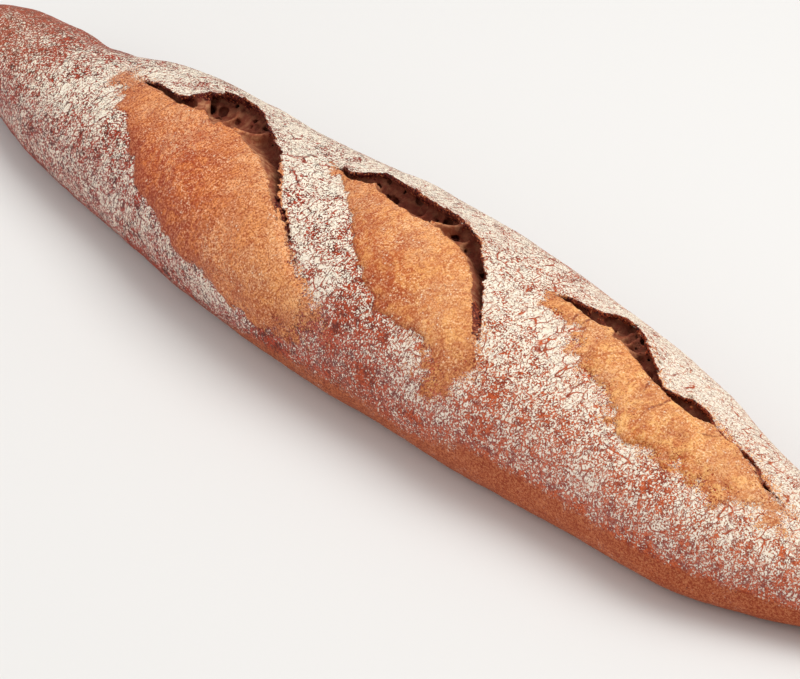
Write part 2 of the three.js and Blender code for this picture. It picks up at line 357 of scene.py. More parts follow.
slashes = [Slash(spec, number) for number, spec in enumerate(SLASHES)]

# Rise over the plain crust: broad lumps, finer ones, a dent on the far side of the left tip,
# creases, then the slashes.
lumps = 0.6 * noise(SKIN, 34, SEED + 10) + 0.42 * noise(SKIN, 14, SEED + 11)
lumps += 0.16 * layered_noise(SKIN, 5, SEED + 12)
dent = (1.5 * ramp(-192, -172, PLANES) * ramp(-136, -158, PLANES)
        + 0.9 * np.exp(-((PLANES + 172) / 8)**2))[:, None]
lumps -= dent * ramp(-15, -45, np.degrees(ANGLES)) * ramp(-110, -80, np.degrees(ANGLES))
BARE = np.full(RADIUS.shape, -99.0)      # distance inside the bare crust
VALLEY = np.zeros(RADIUS.shape)          # the fold along a bulge's near edge
for slash in slashes:
    bare = np.minimum(slash.near, slash.q)
    BARE[slash.rows] = np.maximum(BARE[slash.rows], bare)
    strength = np.clip(slash.crest(slash.t) / 2, 0, 1) * (slash.q > 0)
    VALLEY[slash.rows] -= 0.45 * np.exp(-((slash.near + 0.6) / 1.4)**2) * strength


def striation(slash):
    """Fine ridges on the bare crust, square to the ear, where the dough drew apart."""
    across = np.stack([slash.t + 0.25 * slash.q, slash.q * 0.16,
                       np.full(slash.q.shape, 9.0 * slash.number)], -1)
    lines = noise(across, 1.7, SEED + 20) + 0.6 * noise(across, 3.9, SEED + 21)
    return 0.1 * lines * ramp(34, 6, slash.q) * ramp(0, 2, np.minimum(slash.near, slash.q))


def wandering_path(rng, x, s, heading, size):
    """A line of one millimetre steps over the crust, as (x, millimetres round) points."""
    path = [(x, s)]
    for _ in range(int(size)):
        heading += rng.normal(0, 0.16)
        x += math.cos(heading)
        s += math.sin(heading)
        path.append((x, s))
    return np.array(path)


def crease_table(paths, weights):
    """How deep creases along these paths are at each place, 0 to 1."""
    depth = np.zeros(RADIUS.shape)
    for path, weight in zip(paths, weights):
        i0 = max(int((path[:, 0].min() - 3 - PLANES[0]) / VOXEL), 0)
        i1 = min(int((path[:, 0].max() + 3 - PLANES[0]) / VOXEL), len(PLANES) - 1)
        block_x = PLANES[i0:i1][:, None, None] - path[:, 0]
        block_s = AROUND[i0:i1][:, :, None] - path[:, 1]
        apart = block_x**2 + block_s**2
        nearest = np.argmin(apart, axis=-1)
        apart = np.sqrt(np.take_along_axis(apart, nearest[..., None], -1)[..., 0])
        fade = np.sin(math.pi * (nearest + 0.5) / len(path))**0.6
        groove = weight * fade * np.exp(-(apart / CREASE_WIDTH)**2)
        depth[i0:i1] = np.maximum(depth[i0:i1], groove)
    return depth


rng = np.random.default_rng(SEED)
skin_paths = [wandering_path(rng, rng.uniform(-215, 215), rng.uniform(-60, 75),
                             rng.normal(math.pi / 2 + 0.35, 0.5), rng.uniform(8, 34))
              for _ in range(SKIN_CREASES)]
# Folds in the bare crust start at the ear and run across the bulge.
fold_paths = [wandering_path(rng, x, s, rng.normal(math.pi / 2 + 0.25, 0.25), rng.uniform(7, 22))
              for slash in slashes for x, s in slash.line[20:-20][::rng.integers(9, 14)]
              if rng.uniform() < 0.55]
CREASE = crease_table(skin_paths, rng.uniform(0.25, 0.7, len(skin_paths))) * ramp(1, -2, BARE)
CREASE += crease_table(fold_paths, rng.uniform(0.2, 0.8, len(fold_paths))) * ramp(0, 2, BARE)
fade_at_tips = ramp(LENGTH / 2, LENGTH / 2 - 14, np.abs(PLANES))[:, None]
RISE = (lumps * (1 - 0.45 * ramp(-2, 3, BARE)) + VALLEY) * fade_at_tips - CREASE_DEPTH * CREASE
for slash in slashes:
    RISE[slash.rows] += slash.top + striation(slash)


# ------------ the solid as a field
def cavity_field(slash, q, t, near, rim, rise, rough_noise):
    """Signed distance, negative in bread, round one slash. rise is the height over the plain
    crust with the other slashes' rises taken off."""
    gap = slash.gap_at(t)
    open_share = np.clip(gap / 9, 0, 1)
    reach = 1.4 + 1.4 * open_share
    crest = slash.crest(t)
    behind = slash.ear_top(np.minimum(q, 0), t)
    roof_thickness = EAR_EDGE + 0.35 * rim + EAR_THICKENING * np.maximum(-q, 0)
    roof = slash.ear_top(np.minimum(q, 1.5), t) - roof_thickness
    # The floor steps down from the bulge's crest into a bowl, then climbs under the ear.
    step_down = 1.2 * ramp(gap + 0.9, gap - 0.9, q)
    slide = np.clip((gap - q) / (gap + reach), 0, 1)
    floor = crest - step_down - (crest - 1.2 + CAVITY_DEPTH) * ramp(-0.25, 0.65, slide)
    floor = floor + (roof - floor) * np.clip((slide - 0.6) / 0.4, 0, 1)**1.6
    outside = slash.bulge_top(np.maximum(q, gap), t, near)
    floor = np.where(q > gap + 1.2, outside, np.minimum(floor, outside + 5))
    floor = np.where(q < -reach, behind, floor)
    rough = ramp(gap + 0.4, gap - 1.8, q) * ramp(-reach - 1, -reach + 1, q)
    floor = floor + 0.8 * rough * rough_noise
    slope = (crest + CAVITY_DEPTH) / (0.6 * gap + 1.5)
    below = (rise - floor) / np.sqrt(1 + (slope * rough)**2)
    top = slash.ear_top(np.minimum(q, 2.0), t) + 0.7 * rough_noise * np.exp(np.minimum(q, 0) / 1.2)
    flap = blend_max(rise - top, roof + 0.7 * rough_noise - rise, 0.4)
    flap = blend_max(flap, q - rim - 0.5 * rough_noise, 0.5)
    return blend_min(below, flap, 0.8)


def wall_field(slash, wall, q, t, rise):
    """A torn web of crumb across the cavity: a thin curved sheet with a hollowed upper edge."""
    middle = wall["t"] + wall["lean"] * q + wall["bend"] * np.sin(q * 0.45 + wall["phase"])
    gap = slash.gap_at(t)
    across = np.clip(q / np.maximum(gap, 1), -0.6, 1)
    hollow = wall["hollow"] * np.sin(math.pi * np.clip(across, 0, 1))
    top = slash.crest(t) - wall["drop"] - hollow + 0.8 * across
    sheet = np.abs(t - middle) - wall["half"]
    return blend_max(sheet, rise - top, 0.5)


def plan_walls(slash, rng):
    """The webs of one cavity, from the places along it where the crumb tore into sheets."""
    return [dict(t=float(np.interp(x, slash.line[:, 0], slash.length)), lean=lean, drop=drop,
                 bend=rng.uniform(0.3, 0.9), phase=rng.uniform(0, 6),
                 hollow=rng.uniform(0.3, 1.4), half=half)
            for x, lean, drop, half in slash.webs]


def plan_bubbles(slash, rng):
    """Round pockets in the cavity's floor and back wall, as (x, angle, rise, radius)."""
    bubbles = []
    for _ in range(BUBBLE_TRIES):
        index = rng.integers(len(slash.line))
        gap = slash.gap_line[index]
        across = rng.uniform(-4.0, 0.45 * gap)
        size = rng.choice([0.8, 1.1, 1.5, 2.1], p=[0.4, 0.3, 0.2, 0.1])
        level = rng.uniform(-3.6, 1.5)
        if gap < 2.5 or size > 0.3 * gap + 0.3:
            continue
        tx, ts = slash.tangent[index]
        x = slash.line[index, 0] - ts * across
        angle = (slash.line[index, 1] + tx * across) / mean_radius(x)
        bubbles.append((x, float(angle), level, size))
    return bubbles


def skin_point(x, angle, rise):
    """The point at a height over the plain crust, as x, y, z."""
    radius = sample(RADIUS, x, angle) + rise
    return np.stack([x, centre_line(x) - radius * np.sin(angle),
                     section(x)["level"] + radius * np.cos(angle)], -1)


def fill_field():
    """The loaf on a regular grid: negative inside the bread, about millimetres outside."""
    y, z = (np.arange(*span, VOXEL) for span in (GRID_Y, GRID_Z))
    grid_y, grid_z = (side.ravel() for side in np.meshgrid(y, z, indexing="ij"))
    rng = np.random.default_rng(SEED + 5)
    walls = [plan_walls(slash, rng) for slash in slashes]
    pockets = np.array([(*skin_point(x, angle, level), size) for slash in slashes
                        for x, angle, level, size in plan_bubbles(slash, rng)])
    field = np.full((len(PLANES), len(grid_y)), OUTSIDE, np.float32)
    for i, x in enumerate(PLANES):
        here = section(x)
        dy = here["middle"] - grid_y
        dz = grid_z - here["level"]
        distance = np.hypot(dy, dz)
        close = np.flatnonzero(distance < np.max(RADIUS[i] + RISE[i]) + 3)
        distance = distance[close]
        angle = np.arctan2(dy[close], dz[close])
        rise_here = np.interp(angle, ANGLES, RISE[i])
        whole = full_radius(here, angle)
        inner = distance - rise_here
        plain = whole * here["rounding"]
        squared = np.sign(inner) * inner * inner - whole * whole * here["squared"]
        value = squared / (np.abs(inner) + plain + 1)
        for slash, its_walls in zip(slashes, walls):
            row = i - slash.first
            if not 0 <= row < slash.last - slash.first:
                continue

            def look(table):
                return np.interp(angle, ANGLES, table[row])
            q, t = look(slash.q), look(slash.t)
            over = distance - plain - (rise_here - look(slash.top))
            gap = slash.gap_at(t)
            # Only what the ear and the cavity can reach.
            chosen = np.flatnonzero((q > -14) & (q < gap + 7) & (gap > 0.05)
                                    & (over > -13) & (over < 10) & (t > 0.5)
                                    & (t < slash.length[-1] - 0.5))
            if not len(chosen):
                continue
            q, t, over = q[chosen], t[chosen], over[chosen]
            near, rim = look(slash.near)[chosen], look(slash.rim)[chosen]
            spot = np.stack([np.full(len(chosen), x), grid_y[close[chosen]],
                             grid_z[close[chosen]]], -1)
            crumb = 0.55 * noise(spot, 3.1, SEED + 30) + 0.4 * noise(spot, 1.5, SEED + 31)
            local = cavity_field(slash, q, t, near, rim, over, crumb)
            for wall in its_walls:
                sheet = wall_field(slash, wall, q, t, over)
                under = (q > -4) & (q < gap[chosen] + 0.5)
                local = np.where(under, blend_min(local, sheet, 2.2), local)
            beside = np.abs(pockets[:, 0] - x) < pockets[:, 3]
            for px, py, pz, size in pockets[beside]:
                apart = np.sqrt((px - x)**2 + (py - spot[:, 1])**2 + (pz - spot[:, 2])**2)
                under = (q > -9) & (q < gap[chosen] - 0.3)
                local = np.where(under, blend_max(local, size - apart, 0.4), local)
            value[chosen] = local
        flat = here["floor"] - grid_z[close]
        if here["squared"] > 0:
            value = blend_max(value, flat, 2.2)
        field[i, close] = value
    return field.reshape(len(PLANES), len(y), len(z)), (PLANES[0], y[0], z[0])


CORNERS = np.array(list(np.ndindex(2, 2, 2)))
EDGES = [(a, b) for a in range(8) for b in range(a + 1, 8)
         if np.abs(CORNERS[a] - CORNERS[b]).sum() == 1]


def fuse_touching(field):
    """Fills the grid points where two parts of the bread meet only along an edge, so each edge
    of the surface has two faces."""
    touching = True
    while touching:
        touching = False
        for first, second in ((0, 1), (1, 2), (0, 2)):
            plane = np.moveaxis(field, (first, second), (0, 1))
            corners = plane[:-1, :-1], plane[1:, :-1], plane[1:, 1:], plane[:-1, 1:]
            for a, b, c, d in (corners, corners[1:] + corners[:1]):
                crossed = (a < 0) & (c < 0) & (b >= 0) & (d >= 0)
                b[crossed] = -0.1    # just inside the bread
                touching = touching or crossed.any()


def draw_surface(field, origin, step):
    """Surface nets: one vertex in each grid cell that the surface crosses, and one quad
    round each grid edge that it crosses."""
    inside = field < 0
    shape = np.array(field.shape) - 1

    def shifted(array, corner):
        return array[tuple(slice(c, c + n) for c, n in zip(corner, shape))]
    count = sum(shifted(inside, corner).astype(np.int8) for corner in CORNERS)
    cells = np.argwhere((count > 0) & (count < 8))
    number = np.full(shape, -1, np.int32)
    number[tuple(cells.T)] = np.arange(len(cells))
    total = np.zeros((len(cells), 3))
    crossings = np.zeros(len(cells))
    for a, b in EDGES:
        value_a = field[tuple((cells + CORNERS[a]).T)]
        value_b = field[tuple((cells + CORNERS[b]).T)]
        crossed = (value_a < 0) != (value_b < 0)
        part = value_a[crossed] / (value_a[crossed] - value_b[crossed])
        total[crossed] += CORNERS[a] + part[:, None] * (CORNERS[b] - CORNERS[a])
        crossings[crossed] += 1
    vertices = (cells + total / crossings[:, None]) * step + np.array(origin)
    quads = []
    for axis in range(3):
        low = [slice(1, -1)] * 3
        low[axis] = slice(0, -1)
        high = list(low)
        high[axis] = slice(1, None)
        starts_in = inside[tuple(low)]
        crossed = np.argwhere(starts_in != inside[tuple(high)])
        start = crossed + 1
        start[:, axis] -= 1
        outward = starts_in[tuple(crossed.T)]
        side_b, side_c = (axis + 1) % 3, (axis + 2) % 3
        ring = []
        for back_b, back_c in ((0, 0), (1, 0), (1, 1), (0, 1)):
            cell = start.copy()
            cell[:, side_b] -= back_b
            cell[:, side_c] -= back_c
            ring.append(number[tuple(cell.T)])
        ring = np.stack(ring, -1)
        ring[~outward] = ring[~outward, ::-1]
        quads.append(ring)
    return vertices, np.concatenate(quads)


def largest_piece(vertices, quads):
    """Drops every loose crumb and closed pocket: keeps the one big surface joined by edges."""
    edges = np.sort(np.stack([quads, np.roll(quads, -1, axis=1)], -1).reshape(-1, 2))
    order = np.argsort(edges[:, 0] * np.int64(len(vertices)) + edges[:, 1], kind="stable")
    pairs = order.reshape(-1, 2) // 4
    label = np.arange(len(quads))
    while True:
        lowest = np.minimum(label[pairs[:, 0]], label[pairs[:, 1]])
        updated = label.copy()
        np.minimum.at(updated, pairs[:, 0], lowest)
        np.minimum.at(updated, pairs[:, 1], lowest)
        updated = updated[updated]
        if np.array_equal(updated, label):
            break
        label = updated
    quads = quads[label == np.bincount(label).argmax()]
    used, renumbered = np.unique(quads, return_inverse=True)
    return vertices[used], renumbered.reshape(quads.shape)


# ------------ the mesh and its maps
def add_object(name, data):
    """A new object in the scene."""
    piece = bpy.data.objects.new(name, data)
    bpy.context.scene.collection.objects.link(piece)
    return piece


def thin_out(piece, faces):
    """Joins faces where the surface is flattest until about this many triangles are left."""
    modifier = piece.modifiers.new("thin", "DECIMATE")
    triangles = sum(len(p.vertices) - 2 for p in piece.data.polygons)
    modifier.ratio = min(faces / triangles, 1)
    modifier.use_collapse_triangulate = True
    graph = bpy.context.evaluated_depsgraph_get()
    thinned = bpy.data.meshes.new_from_object(piece.evaluated_get(graph))
    piece.modifiers.clear()
    piece.data = thinned


def loaf_coordinates(points):
    """x, angle and height over the plain crust of points in loaf millimetres."""
    x = points[:, 0]
    dy = centre_line(x) - points[:, 1]
    dz = points[:, 2] - section(x)["level"]
    angle = np.arctan2(dy, dz)
    return x, angle, np.hypot(dy, dz) - sample(RADIUS, x, angle)


def give_attribute(mesh, name, values):
    """Stores a number or a vector on each vertex, for the material to read."""
    kind, key = ("FLOAT", "value") if values.ndim == 1 else ("FLOAT_VECTOR", "vector")
    layer = mesh.attributes.new(name, kind, "POINT")
    layer.data.foreach_set(key, values.astype(np.float32).ravel())


def flour_amount(x, angle):
    """How thickly the skin is floured over the whole loaf, before it is cut to 0 to 1. Each
    line adds or takes some in one part, by x along the loaf and by degrees round it."""
    degrees = np.degrees(angle)
    amount = np.full(x.shape, 0.55)
    amount -= 0.26 * ramp(-152, -208, x)
    amount += 0.10 * ramp(-185, -165, x) * ramp(-110, -130, x) * ramp(75, 40, degrees)
    amount += 0.10 * ramp(-140, -110, x) * ramp(60, 40, degrees)
    amount -= 0.16 * ramp(62, 85, degrees) * ramp(-40, -10, x)
    amount -= 0.55 * ramp(80, 97, degrees) * ramp(45, 90, x)
    amount -= 0.40 * ramp(92, 110, degrees)
    mid = ramp(-46, -20, x) * ramp(60, 30, x) * ramp(0, 25, degrees)
    amount -= (0.28 - 0.13 * ramp(35, 60, degrees)) * mid
    amount += 0.03 * ramp(60, 100, x)
    amount -= 0.14 * ramp(-140, -160, x) * ramp(0, -25, degrees)
    amount += 0.12 * ramp(-25, -40, degrees) * ramp(-150, -120, x)
    amount -= 0.26 * ramp(-70, -95, degrees)
    amount -= 0.30 * ramp(-95, -125, degrees)
    amount -= 0.10 * ramp(205, 228, x)
    return amount


def paint(piece, vertices):
    """Stores on the vertices what the crust's material needs to know about each place."""
    mesh = piece.data
    x, angle, rise = loaf_coordinates(vertices)
    bare = sample(BARE, x, angle)
    depth, edge = np.zeros((2, len(x)))
    torn = np.zeros((len(x), 3))
    fray = np.full(len(x), 1.4)
    floured = flour_amount(x, angle)
    for slash in slashes:
        where = np.flatnonzero((x > PLANES[slash.first] + 1) & (x < PLANES[slash.last] - 2))
        shift = PLANES[slash.first] - PLANES[0]

        def look(table):
            return sample(table, x[where] - shift, angle[where])
        q, t, near, rim = look(slash.q), look(slash.t), look(slash.near), look(slash.rim)
        gap = slash.gap_at(t)
        over = rise[where] - (sample(RISE, x[where], angle[where]) - look(slash.top))
        above = slash.envelope(q, t, near)
        above = np.where((q < 2.2) & (over > slash.ear_top(q, t) - 1.2), over, above)
        open_here = (q > -9) & (q < gap + 1.0) & (gap > 0.3)
        sunk = np.where(open_here, np.maximum(above - over, 0), 0)
        burnt = 0.8 * ramp(0.9, 0.1, np.abs(q - rim)) * (sunk < 3)
        under_lip = slash.ear_top(q, t) - over
        burnt = np.where((under_lip > 0.3) & (under_lip < 1.8 + 0.7 * rim) & (q < 2.5) & (q > -3),
                         0.9, burnt)
        edge[where] = np.maximum(edge[where], burnt * np.clip(slash.rise_at(t) / 1.5, 0, 1))
        # Narrow gaps count as deeper, so more of them is crumb and the painted shade in them is
        # darker.
        sunk *= 1 + 0.9 * np.clip(1 - gap / 5, 0, 1)
        for x_web, _, _, half in slash.webs:
            # A thick web is torn crumb up to its top.
            away = np.abs(t - np.interp(x_web, slash.line[:, 0], slash.length))
            tongue = 2.4 * ramp(half + 1.6, half - 0.4, away) * (q > -2) * (q < gap + 0.6)
            sunk = np.maximum(sunk, tongue * (half > 2))
        depth[where] = np.maximum(depth[where], sunk)
        nearer = (np.abs(q) < 60) & ((q > 0) & (near > -6) | (torn[where, 1] == 0))
        torn[where[nearer]] = np.stack([t + 200 * slash.number, q, near], -1)[nearer]
        fray[where[nearer]] = slash.fray_at(t)[nearer]
        share = t / slash.length[-1]
        floured[where] += 0.26 * ramp(-30, -6, q) * (q < 1) * (share > 0.02) * (share < 0.98)
        floured[where] += 0.14 * ramp(-16, -2, near) * (near < 0) * (q > 0)
    low = ramp(40, 80, np.degrees(angle)) + ramp(-60, -95, np.degrees(angle))
    values = dict(bare=bare, depth=depth, edge=edge, torn=torn, flour=np.clip(floured, 0, 1),
                  crease=sample(CREASE, x, angle), fray=fray, low=low, along=x / LENGTH + 0.5)
    for name, value in values.items():
        give_attribute(mesh, name, value)


# ------------ the crust's material
def colour(code):
    """A linear colour from a hex one."""
    parts = [int(code[i:i + 2], 16) / 255 for i in (1, 3, 5)]
    return (*(c / 12.92 if c <= 0.04045 else ((c + 0.055) / 1.055)**2.4 for c in parts), 1)


class Nodes:
    """Short names for the shader nodes of one material. Sizes are millimetres. A value is a
    number or a socket, and a colour may be a hex code too."""

    def __init__(self, name):
        self.material = bpy.data.materials.new(name)
        self.material.use_nodes = True
        self.tree = self.material.node_tree
        self.tree.nodes.clear()
        place = self.new("TexCoord", {}).outputs["Object"]
        self.place = self.vector("MULTIPLY", place, (1 / MM, 1 / MM, 1 / MM))

    def plug(self, socket, value):
        if isinstance(value, bpy.types.NodeSocket):
            self.tree.links.new(value, socket)
        elif value is not None:
            socket.default_value = value

    def new(self, kind, inputs, **settings):
        """A node with these settings and inputs, which go by name or by number."""
        node = self.tree.nodes.new("ShaderNode" + kind)
        for key, value in settings.items():
            setattr(node, key, value)
        for key, value in inputs.items():
            self.plug(node.inputs[key], value)
        return node

    def math(self, operation, a, b=None, c=None, clamp=False):
        node = self.new("Math", {0: a, 1: b, 2: c}, operation=operation, use_clamp=clamp)
        return node.outputs[0]

    def times(self, a, b):
        return self.math("MULTIPLY", a, b)

    def minus(self, a, b):
        return self.math("SUBTRACT", a, b)

    def centred(self, value):
        """A noise of 0 to 1 brought to lie round 0."""
        return self.minus(value, 0.5)

    def scale_add(self, value, factor, added):
        return self.math("MULTIPLY_ADD", value, factor, added)

    def vector(self, operation, a, b):
        return self.new("VectorMath", {0: a, 1: b}, operation=operation).outputs[0]

    def attribute(self, name, output="Fac"):
        return self.new("Attribute", {}, attribute_name=name).outputs[output]

    def noise(self, size, detail, rough, place=None, twist=0.0):
        inputs = {"Vector": place or self.place, "Scale": 1 / size, "Detail": detail,
                  "Roughness": rough, "Distortion": twist}
        return self.new("TexNoise", inputs).outputs["Fac"]

    def swirl(self, size, reach):
        """A smooth random offset, up to about reach millimetres each way."""
        node = self.new("TexNoise", {"Vector": self.place, "Scale": 1 / size})
        centred = self.vector("SUBTRACT", node.outputs["Color"], (0.5, 0.5, 0.5))
        return self.vector("MULTIPLY", centred, (2 * reach, 2 * reach, 2 * reach))

    def cells(self, size, place=None, feature="DISTANCE_TO_EDGE"):
        inputs = {"Vector": place or self.place, "Scale": 1 / size}
        return self.new("TexVoronoi", inputs, feature=feature).outputs["Distance"]

    def step(self, low, high, value):
        """0 up to low, 1 from high on; low may be the greater one if both are numbers."""
        falling = isinstance(low, (int, float)) and low > high
        if falling:
            low, high = high, low
        inputs = {"Value": value, "From Min": low, "From Max": high,
                  "To Min": float(falling), "To Max": float(not falling)}
        return self.new("MapRange", inputs, interpolation_type="SMOOTHSTEP").outputs["Result"]

    def mix(self, share, a, b):
        """Colour a where share is 0, b where it is 1. Inputs 6 and 7 are the node's colours."""
        a, b = (colour(tone) if isinstance(tone, str) else tone for tone in (a, b))
        return self.new("Mix", {"Factor": share, 6: a, 7: b}, data_type="RGBA").outputs[2]

    def tint(self, base, *layers):
        """The base colour with others over it, each a colour, a mask and the most it covers."""
        for tone, mask, most in layers:
            base = self.mix(self.times(mask, most), base, tone)
        return base

    def blend(self, share, a, b):
        """Number a where share is 0, b where it is 1. Inputs 2 and 3 are the node's numbers."""
        return self.new("Mix", {"Factor": share, 2: a, 3: b}).outputs[0]

    def scaled(self, factors, place=None):
        return self.vector("MULTIPLY", place or self.place, factors)

    def bump(self, height, size, under=None):
        """A bump whose height of 1 stands size millimetres high."""
        inputs = {"Strength": 1.0, "Distance": size * MM, "Height": height, "Normal": under}
        return self.new("Bump", inputs).outputs[0]


def flour_level(n, at):
    """How much flour lies here, in patches of a few centimetres and of a few millimetres."""
    patches = n.scale_add(n.centred(at.wander), 1.7, n.scale_add(at.broad, 0.7, -0.35))
    evenness = n.math("ADD", at.flour, 0.3, clamp=True)
    return n.math("MULTIPLY_ADD", patches, evenness, at.flour, clamp=True)


def flour_cover(n, at, level):
    """1 where flour lies: small islands between worm-like gaps, pinholes and cracks that run
    round the loaf."""
    warped = n.vector("ADD", n.scaled((1.0, 0.85, 0.85)), n.swirl(1.5, 0.4))
    worm = n.math("ABSOLUTE", n.centred(n.noise(1.35, 1.5, 0.55, warped)))
    worm = n.minus(worm, n.scale_add(level, -0.068, 0.085))
    holes = n.minus(at.grain, n.scale_add(level, -0.25, 0.61))
    soft = n.blend(n.step(0.55, 0.8, at.along), 0.012, 0.04)
    hard = n.times(soft, -1.0)
    swept = n.vector("ADD", n.scaled((1.0, 0.5, 0.5)), n.swirl(3.5, 0.9))
    crack = n.times(n.step(0.055, 0.015, n.cells(4.2, swept)), n.step(0.5, 0.62, at.wander))
    cover = n.times(n.step(hard, soft, worm), n.step(hard, soft, holes))
    cover = n.times(cover, n.minus(1.0, crack))
    cover = n.times(cover, n.step(0.42, 0.24, at.crease))
    return n.times(cover, n.step(0.0, 0.2, level))


def floured_skin(n, at, level, cover):
    """Brown skin with a thin film of flour in its grain, and dust on it where flour lies.
    Low on the sides the film is greyer and pinker and the dust pinker: painted shade.
    """
    darker = n.mix(at.rightward, "#440c04", "#862a0d")
    brown = n.mix(at.rightward, "#ae330f", "#cd5a22")
    brown = n.mix(n.step(0.42, 0.66, n.noise(2.4, 3, 0.6)), brown, darker)
    smooth = n.times(n.step(0.3, 0.0, at.flour), n.step(0.15, 0.45, at.along))
    brown = n.mix(smooth, brown, n.mix(at.wander, "#984020", "#c06436"))
    # The film lies mostly low on the sides and turns greyer and pinker lower down: partly a real
    # flour film, partly painted shade.
    film = n.scale_add(at.low, n.times(at.broad, 0.55), n.times(level, 0.08))
    film = n.times(film, n.times(n.step(-0.1, 0.5, level), 0.8))
    under = n.mix(film, brown, n.mix(at.low, "#d3a084", "#b88c8a"))
    pale_tip = n.times(n.step(0.2, 0.05, at.along), n.step(0.35, 0.0, at.low))
    under = n.tint(under, ("#dd9a68", n.step(0.5, 0.62, at.curl), n.times(smooth, 0.35)),
                   (darker, n.step(0.5, 0.43, at.curl), 0.75), ("#b06a4e", pale_tip, 0.4))
    dust = n.mix(n.step(0.1, 0.6, level), "#ead1b8", "#f3e5cd")
    dust = n.mix(n.step(0.4, 0.66, n.noise(0.9, 3, 0.6)), dust, "#fdf5e4")
    # Low on the sides the dust is tinted pinker: painted shade.
    return n.tint(under, (n.tint(dust, ("#e0c6bb", at.low, 0.4)), cover, 0.97))


def bare_crust(n, at):
    """Orange crust of the bulges, curly in the grain, with ridges square to the ear."""
    blotch = n.step(0.4, 0.6, at.mottle)
    fresh = n.mix(n.step(0.3, 0.8, at.along), n.mix(blotch, "#b74a1c", "#dd7a3a"),
                  n.mix(blotch, "#d97d38", "#f8b86c"))
    flecks = n.scale_add(n.step(0.4, 0.62, n.noise(9, 3, 0.6)), 0.5, 0.4)
    fleck = n.mix(n.step(0.36, 0.6, at.along), "#f8caa4", "#ffd6a6")
    pores = n.blend(n.step(0.36, 0.6, at.along), 0.85, 0.5)
    by_ear = n.times(n.step(36, 10, at.behind), 0.4)
    strands = n.math("ABSOLUTE", n.centred(n.noise(2.1, 2, 0.6, twist=1.5)))
    strands = n.times(n.step(0.03, 0.008, strands), n.step(0.48, 0.62, at.broad))
    # Low on the near side, a darker band follows the bulge's near edge: partly darker crust,
    # partly painted shade where the bulge rounds away from the light.
    band = n.step(12.0, 1.5, n.scale_add(n.centred(at.mottle), 22.0, at.near))
    band = n.times(band, n.step(-0.12, 0.15, at.low))
    baked = n.mix(n.step(0.44, 0.6, at.curl), "#852a16", "#bd6642")
    specks = n.step(0.3, 0.14, n.cells(1.3, feature="F1"))
    specks = n.times(specks, n.step(0.55, 0.64, n.noise(7, 3, 0.6)))
    return n.tint(fresh, ("#ad4822", n.step(0.46, 0.62, at.wander), 0.7),
                  # Lighter towards the ear: a painted highlight on the bulge's top.
                  ("#f4ad6c", n.step(32, 4, at.behind), 0.45),
                  (fleck, n.step(0.54, 0.62, at.curl), flecks),
                  ("#8f2f0e", n.step(0.48, 0.42, at.curl), pores),
                  ("#a54722", n.step(0.48, 0.34, at.ridges), by_ear),
                  ("#f8b47a", n.step(0.54, 0.7, at.ridges), 0.25),
                  ("#ffd3a2", strands, 0.6),
                  # The near-edge band: partly darker crust, partly painted shade.
                  (baked, band, n.blend(n.step(0.36, 0.46, at.along), 0.74, 0.4)),
                  # Darker in the creases: painted shade.
                  ("#7a2811", n.step(0.1, 0.4, at.crease), 0.85),
                  ("#f6e3c8", specks, 0.75))


def bare_share(n, at):
    """1 on bare crust, with an edge as ragged as fray says."""
    ragged = n.times(n.times(n.centred(n.noise(2.6, 4, 0.7)), 3.4), at.fray)
    furry = n.times(n.centred(at.grain), n.times(at.fray, at.fray))
    ragged = n.scale_add(furry, 1.1, ragged)
    return n.step(-0.25, 0.35, n.math("ADD", ragged, at.bare))


def torn_crumb(n, at):
    """Crumb inside the tears: brown, with painted shade that darkens it with depth and under the ear.
    """
    crumb = n.mix(n.step(0.35, 0.7, at.membrane), "#965034", "#c0855e")
    fibres = n.noise(1.1, 2, 0.6, n.scaled((1.0, 0.2, 0.1), at.torn))
    return n.tint(crumb, ("#7c3420", n.step(0.5, 0.36, fibres), 0.6),
                  # Painted shade: darker deep in the tear, and a painted shadow under the ear's
                  # overhang.
                  ("#66251a", n.step(4.5, 10, at.depth), 1.0),
                  ("#5c1e14", n.step(4.5, -0.5, at.behind), 0.75))


def burnt_rim(n, at):
    """The burnt edge of an ear, charred in spots."""
    charred = n.noise(0.8, 3, 0.7)
    rim = n.mix(at.rightward, "#641a12", "#8a3519")
    rim = n.mix(n.step(0.56, 0.64, charred), rim, "#cc7d50")
    return n.mix(n.step(0.5, 0.42, charred), rim, "#2c0909")


